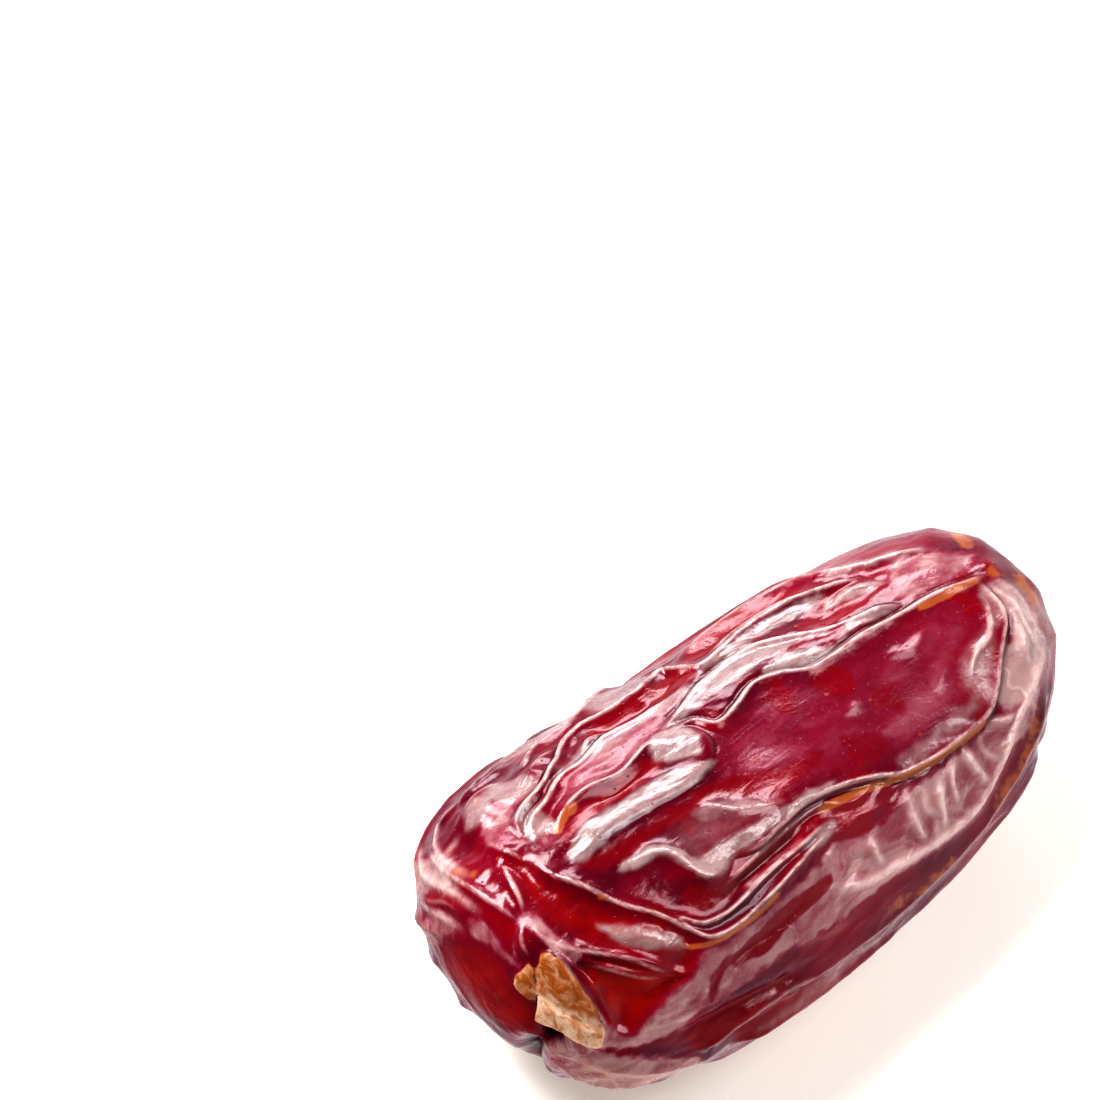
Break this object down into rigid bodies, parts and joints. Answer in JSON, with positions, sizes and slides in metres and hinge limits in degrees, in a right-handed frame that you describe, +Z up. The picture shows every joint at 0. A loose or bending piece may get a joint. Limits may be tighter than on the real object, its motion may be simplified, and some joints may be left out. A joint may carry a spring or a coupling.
{
  "type": "medjool date",
  "caption": "Whole dried medjool date lying on its side: plump, blunt-ended fruit with glossy deep red skin in long pinched folds, and a torn, cleft stem scar.",
  "frame": {"origin": "middle of the bounding box's base, in the plane of the small flat spot that the fruit rests on", "axes": "+X along the fruit from the stem end to the tip, +Z up from the surface it rests on, +Y to the left seen from above looking from the stem end towards the tip"},
  "size_m": [0.0578, 0.0286, 0.0227],
  "materials": {
    "skin": "glossy"
  },
  "bodies": {
    "root": {"date": "skin"}
  },
  "joints": []
}
